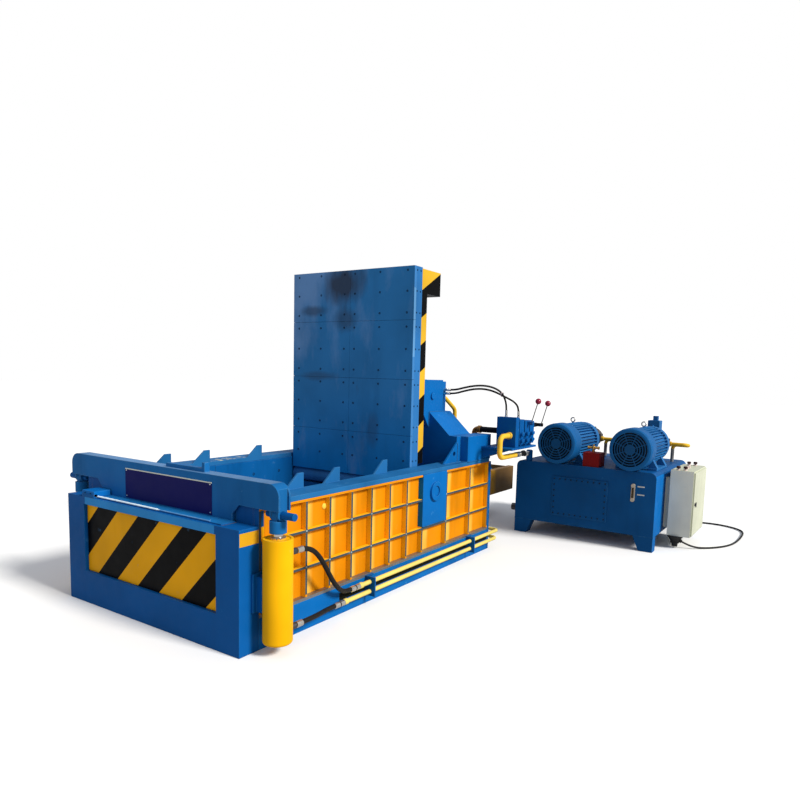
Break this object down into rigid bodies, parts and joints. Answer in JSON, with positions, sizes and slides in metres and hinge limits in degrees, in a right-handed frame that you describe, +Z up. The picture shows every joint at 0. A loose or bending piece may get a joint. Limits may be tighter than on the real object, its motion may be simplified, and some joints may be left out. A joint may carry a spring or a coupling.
{
  "type": "recycling baler",
  "caption": "Horizontal hydraulic scrap baler with a lifting front gate, a hinged lid held open, a lever valve stand, a twin-motor power unit and a control cabinet.",
  "frame": {"origin": "on the floor, under the middle of the gate frame", "axes": "+X back along the press, +Y to the side away from the controls, +Z up"},
  "size_m": [5.734, 4.0126, 2.536],
  "materials": {
    "blue_paint": "semi-gloss blue enamel",
    "dark_blue_paint": "semi-gloss dark blue enamel",
    "yellow_paint": "semi-gloss yellow enamel",
    "grey_paint": "light grey powder coat",
    "worn_steel": "bare worn steel",
    "chrome": "hard chrome",
    "black_rubber": "matt black rubber",
    "black_plastic": "matt black plastic",
    "red_plastic": "gloss red plastic"
  },
  "bodies": {
    "machine": {"base_frame": "blue_paint", "floor_plate": "worn_steel", "side_walls": "blue_paint", "wall_panels": "yellow_paint", "wall_ribs": "blue_paint", "hinge_plates": "blue_paint", "top_flanges": "blue_paint", "wear_plates": "worn_steel", "lid_pins": "worn_steel", "gate_frame": "blue_paint", "gate_cylinders": "yellow_paint", "cylinder_brackets": "blue_paint", "rear_bridge": "blue_paint", "crosshead": "blue_paint", "main_cylinder": "blue_paint", "cylinder_frame": "yellow_paint", "side_pipes": "yellow_paint", "pipe_clamps": "blue_paint", "hose_fittings": "worn_steel", "upper_gate_hose": "black_rubber", "lower_gate_hose": "black_rubber", "arch_hose": "black_rubber", "second_arch_hose": "black_rubber", "return_hose": "black_rubber", "power_cable": "black_rubber", "valve_shelf": "blue_paint", "control_valve": "blue_paint", "steel_pipes": "yellow_paint", "oil_tank": "blue_paint", "tank_legs": "blue_paint", "access_cover": "blue_paint", "tank_fittings": "red_plastic", "motor_housings": "blue_paint", "motor_cowls": "dark_blue_paint", "bell_housings": "blue_paint", "pumps": "worn_steel", "cabinet_body": "grey_paint", "control_gear": "black_plastic", "cabinet_fittings": "black_plastic"},
    "gate": {"gate_panel": "yellow_paint", "lift_beam": "blue_paint", "clevis_pins": "worn_steel", "gate_rods": "chrome"},
    "lid": {"lid_liner": "worn_steel", "lid_frame": "blue_paint", "lid_rails": "yellow_paint"},
    "lid_cylinder_barrels": {"lid_barrels": "blue_paint"},
    "lid_cylinder_rods": {"lid_rods": "chrome"},
    "ram": {"ram_head": "blue_paint", "ram_rod": "chrome"},
    "far_fan": {"motor_fan_far": "black_plastic"},
    "near_fan": {"motor_fan_near": "black_plastic"},
    "front_lever": {"lever_front": "red_plastic"},
    "rear_lever": {"lever_rear": "red_plastic"},
    "cabinet_door": {"cabinet_door": "grey_paint"},
    "door_latch": {"door_latch": "worn_steel"},
    "button_1": {"push_button_1": "black_plastic"},
    "button_2": {"push_button_2": "black_plastic"},
    "button_3": {"push_button_3": "black_plastic"},
    "button_4": {"push_button_4": "black_plastic"}
  },
  "joints": [
    {"name": "gate_lift", "type": "slide", "parent": "machine", "child": "gate", "axis": [0, 0, 1], "range_m": [0, 0.48]},
    {"name": "lid_swing", "type": "hinge", "parent": "machine", "child": "lid", "pos_m": [1.995, 0, 0.7], "axis": [0, -1, 0], "range_deg": [0, 90]},
    {"name": "lid_cylinder_swing", "type": "hinge", "parent": "machine", "child": "lid_cylinder_barrels", "pos_m": [2.525, 0, 1.466], "axis": [0, 1, 0], "range_deg": [0, 8.44]},
    {"name": "lid_rod_slide", "type": "slide", "parent": "lid_cylinder_barrels", "child": "lid_cylinder_rods", "axis": [-0.6562, 0, -0.7546], "range_m": [0, 0.3692]},
    {"name": "ram_stroke", "type": "slide", "parent": "machine", "child": "ram", "axis": [-1, 0, 0], "range_m": [0, 1.5]},
    {"name": "far_fan_spin", "type": "hinge", "parent": "machine", "child": "far_fan", "pos_m": [3.9, -1.225, 0.995], "axis": [1, 0, 0], "continuous": true},
    {"name": "near_fan_spin", "type": "hinge", "parent": "machine", "child": "near_fan", "pos_m": [3.9, -1.98, 0.995], "axis": [1, 0, 0], "continuous": true},
    {"name": "front_lever_tilt", "type": "hinge", "parent": "machine", "child": "front_lever", "pos_m": [3.185, -1.2, 1.228], "axis": [1, 0, 0], "range_deg": [-14, 14], "stiffness_Nm_per_rad": 60},
    {"name": "rear_lever_tilt", "type": "hinge", "parent": "machine", "child": "rear_lever", "pos_m": [3.422, -1.2, 1.204], "axis": [1, 0, 0], "range_deg": [-14, 14], "stiffness_Nm_per_rad": 60},
    {"name": "cabinet_door_swing", "type": "hinge", "parent": "machine", "child": "cabinet_door", "pos_m": [4.78, -2.517, 0.46], "axis": [0, 0, 1], "range_deg": [0, 120]},
    {"name": "door_latch_turn", "type": "hinge", "parent": "cabinet_door", "child": "door_latch", "pos_m": [4.235, -2.517, 0.46], "axis": [0, 1, 0], "range_deg": [0, 90]},
    {"name": "button_1_press", "type": "slide", "parent": "machine", "child": "button_1", "axis": [0, 0, -1], "range_m": [0, 0.006], "stiffness_N_per_m": 900},
    {"name": "button_2_press", "type": "slide", "parent": "machine", "child": "button_2", "axis": [0, 0, -1], "range_m": [0, 0.006], "stiffness_N_per_m": 900},
    {"name": "button_3_press", "type": "slide", "parent": "machine", "child": "button_3", "axis": [0, 0, -1], "range_m": [0, 0.006], "stiffness_N_per_m": 900},
    {"name": "button_4_press", "type": "slide", "parent": "machine", "child": "button_4", "axis": [0, 0, -1], "range_m": [0, 0.006], "stiffness_N_per_m": 900}
  ],
  "couplings": [
    {"joint": "lid_cylinder_swing", "follows": "lid_swing", "ratio": 0.093749},
    {"joint": "lid_rod_slide", "follows": "lid_swing", "m_per_rad": 0.23504}
  ]
}
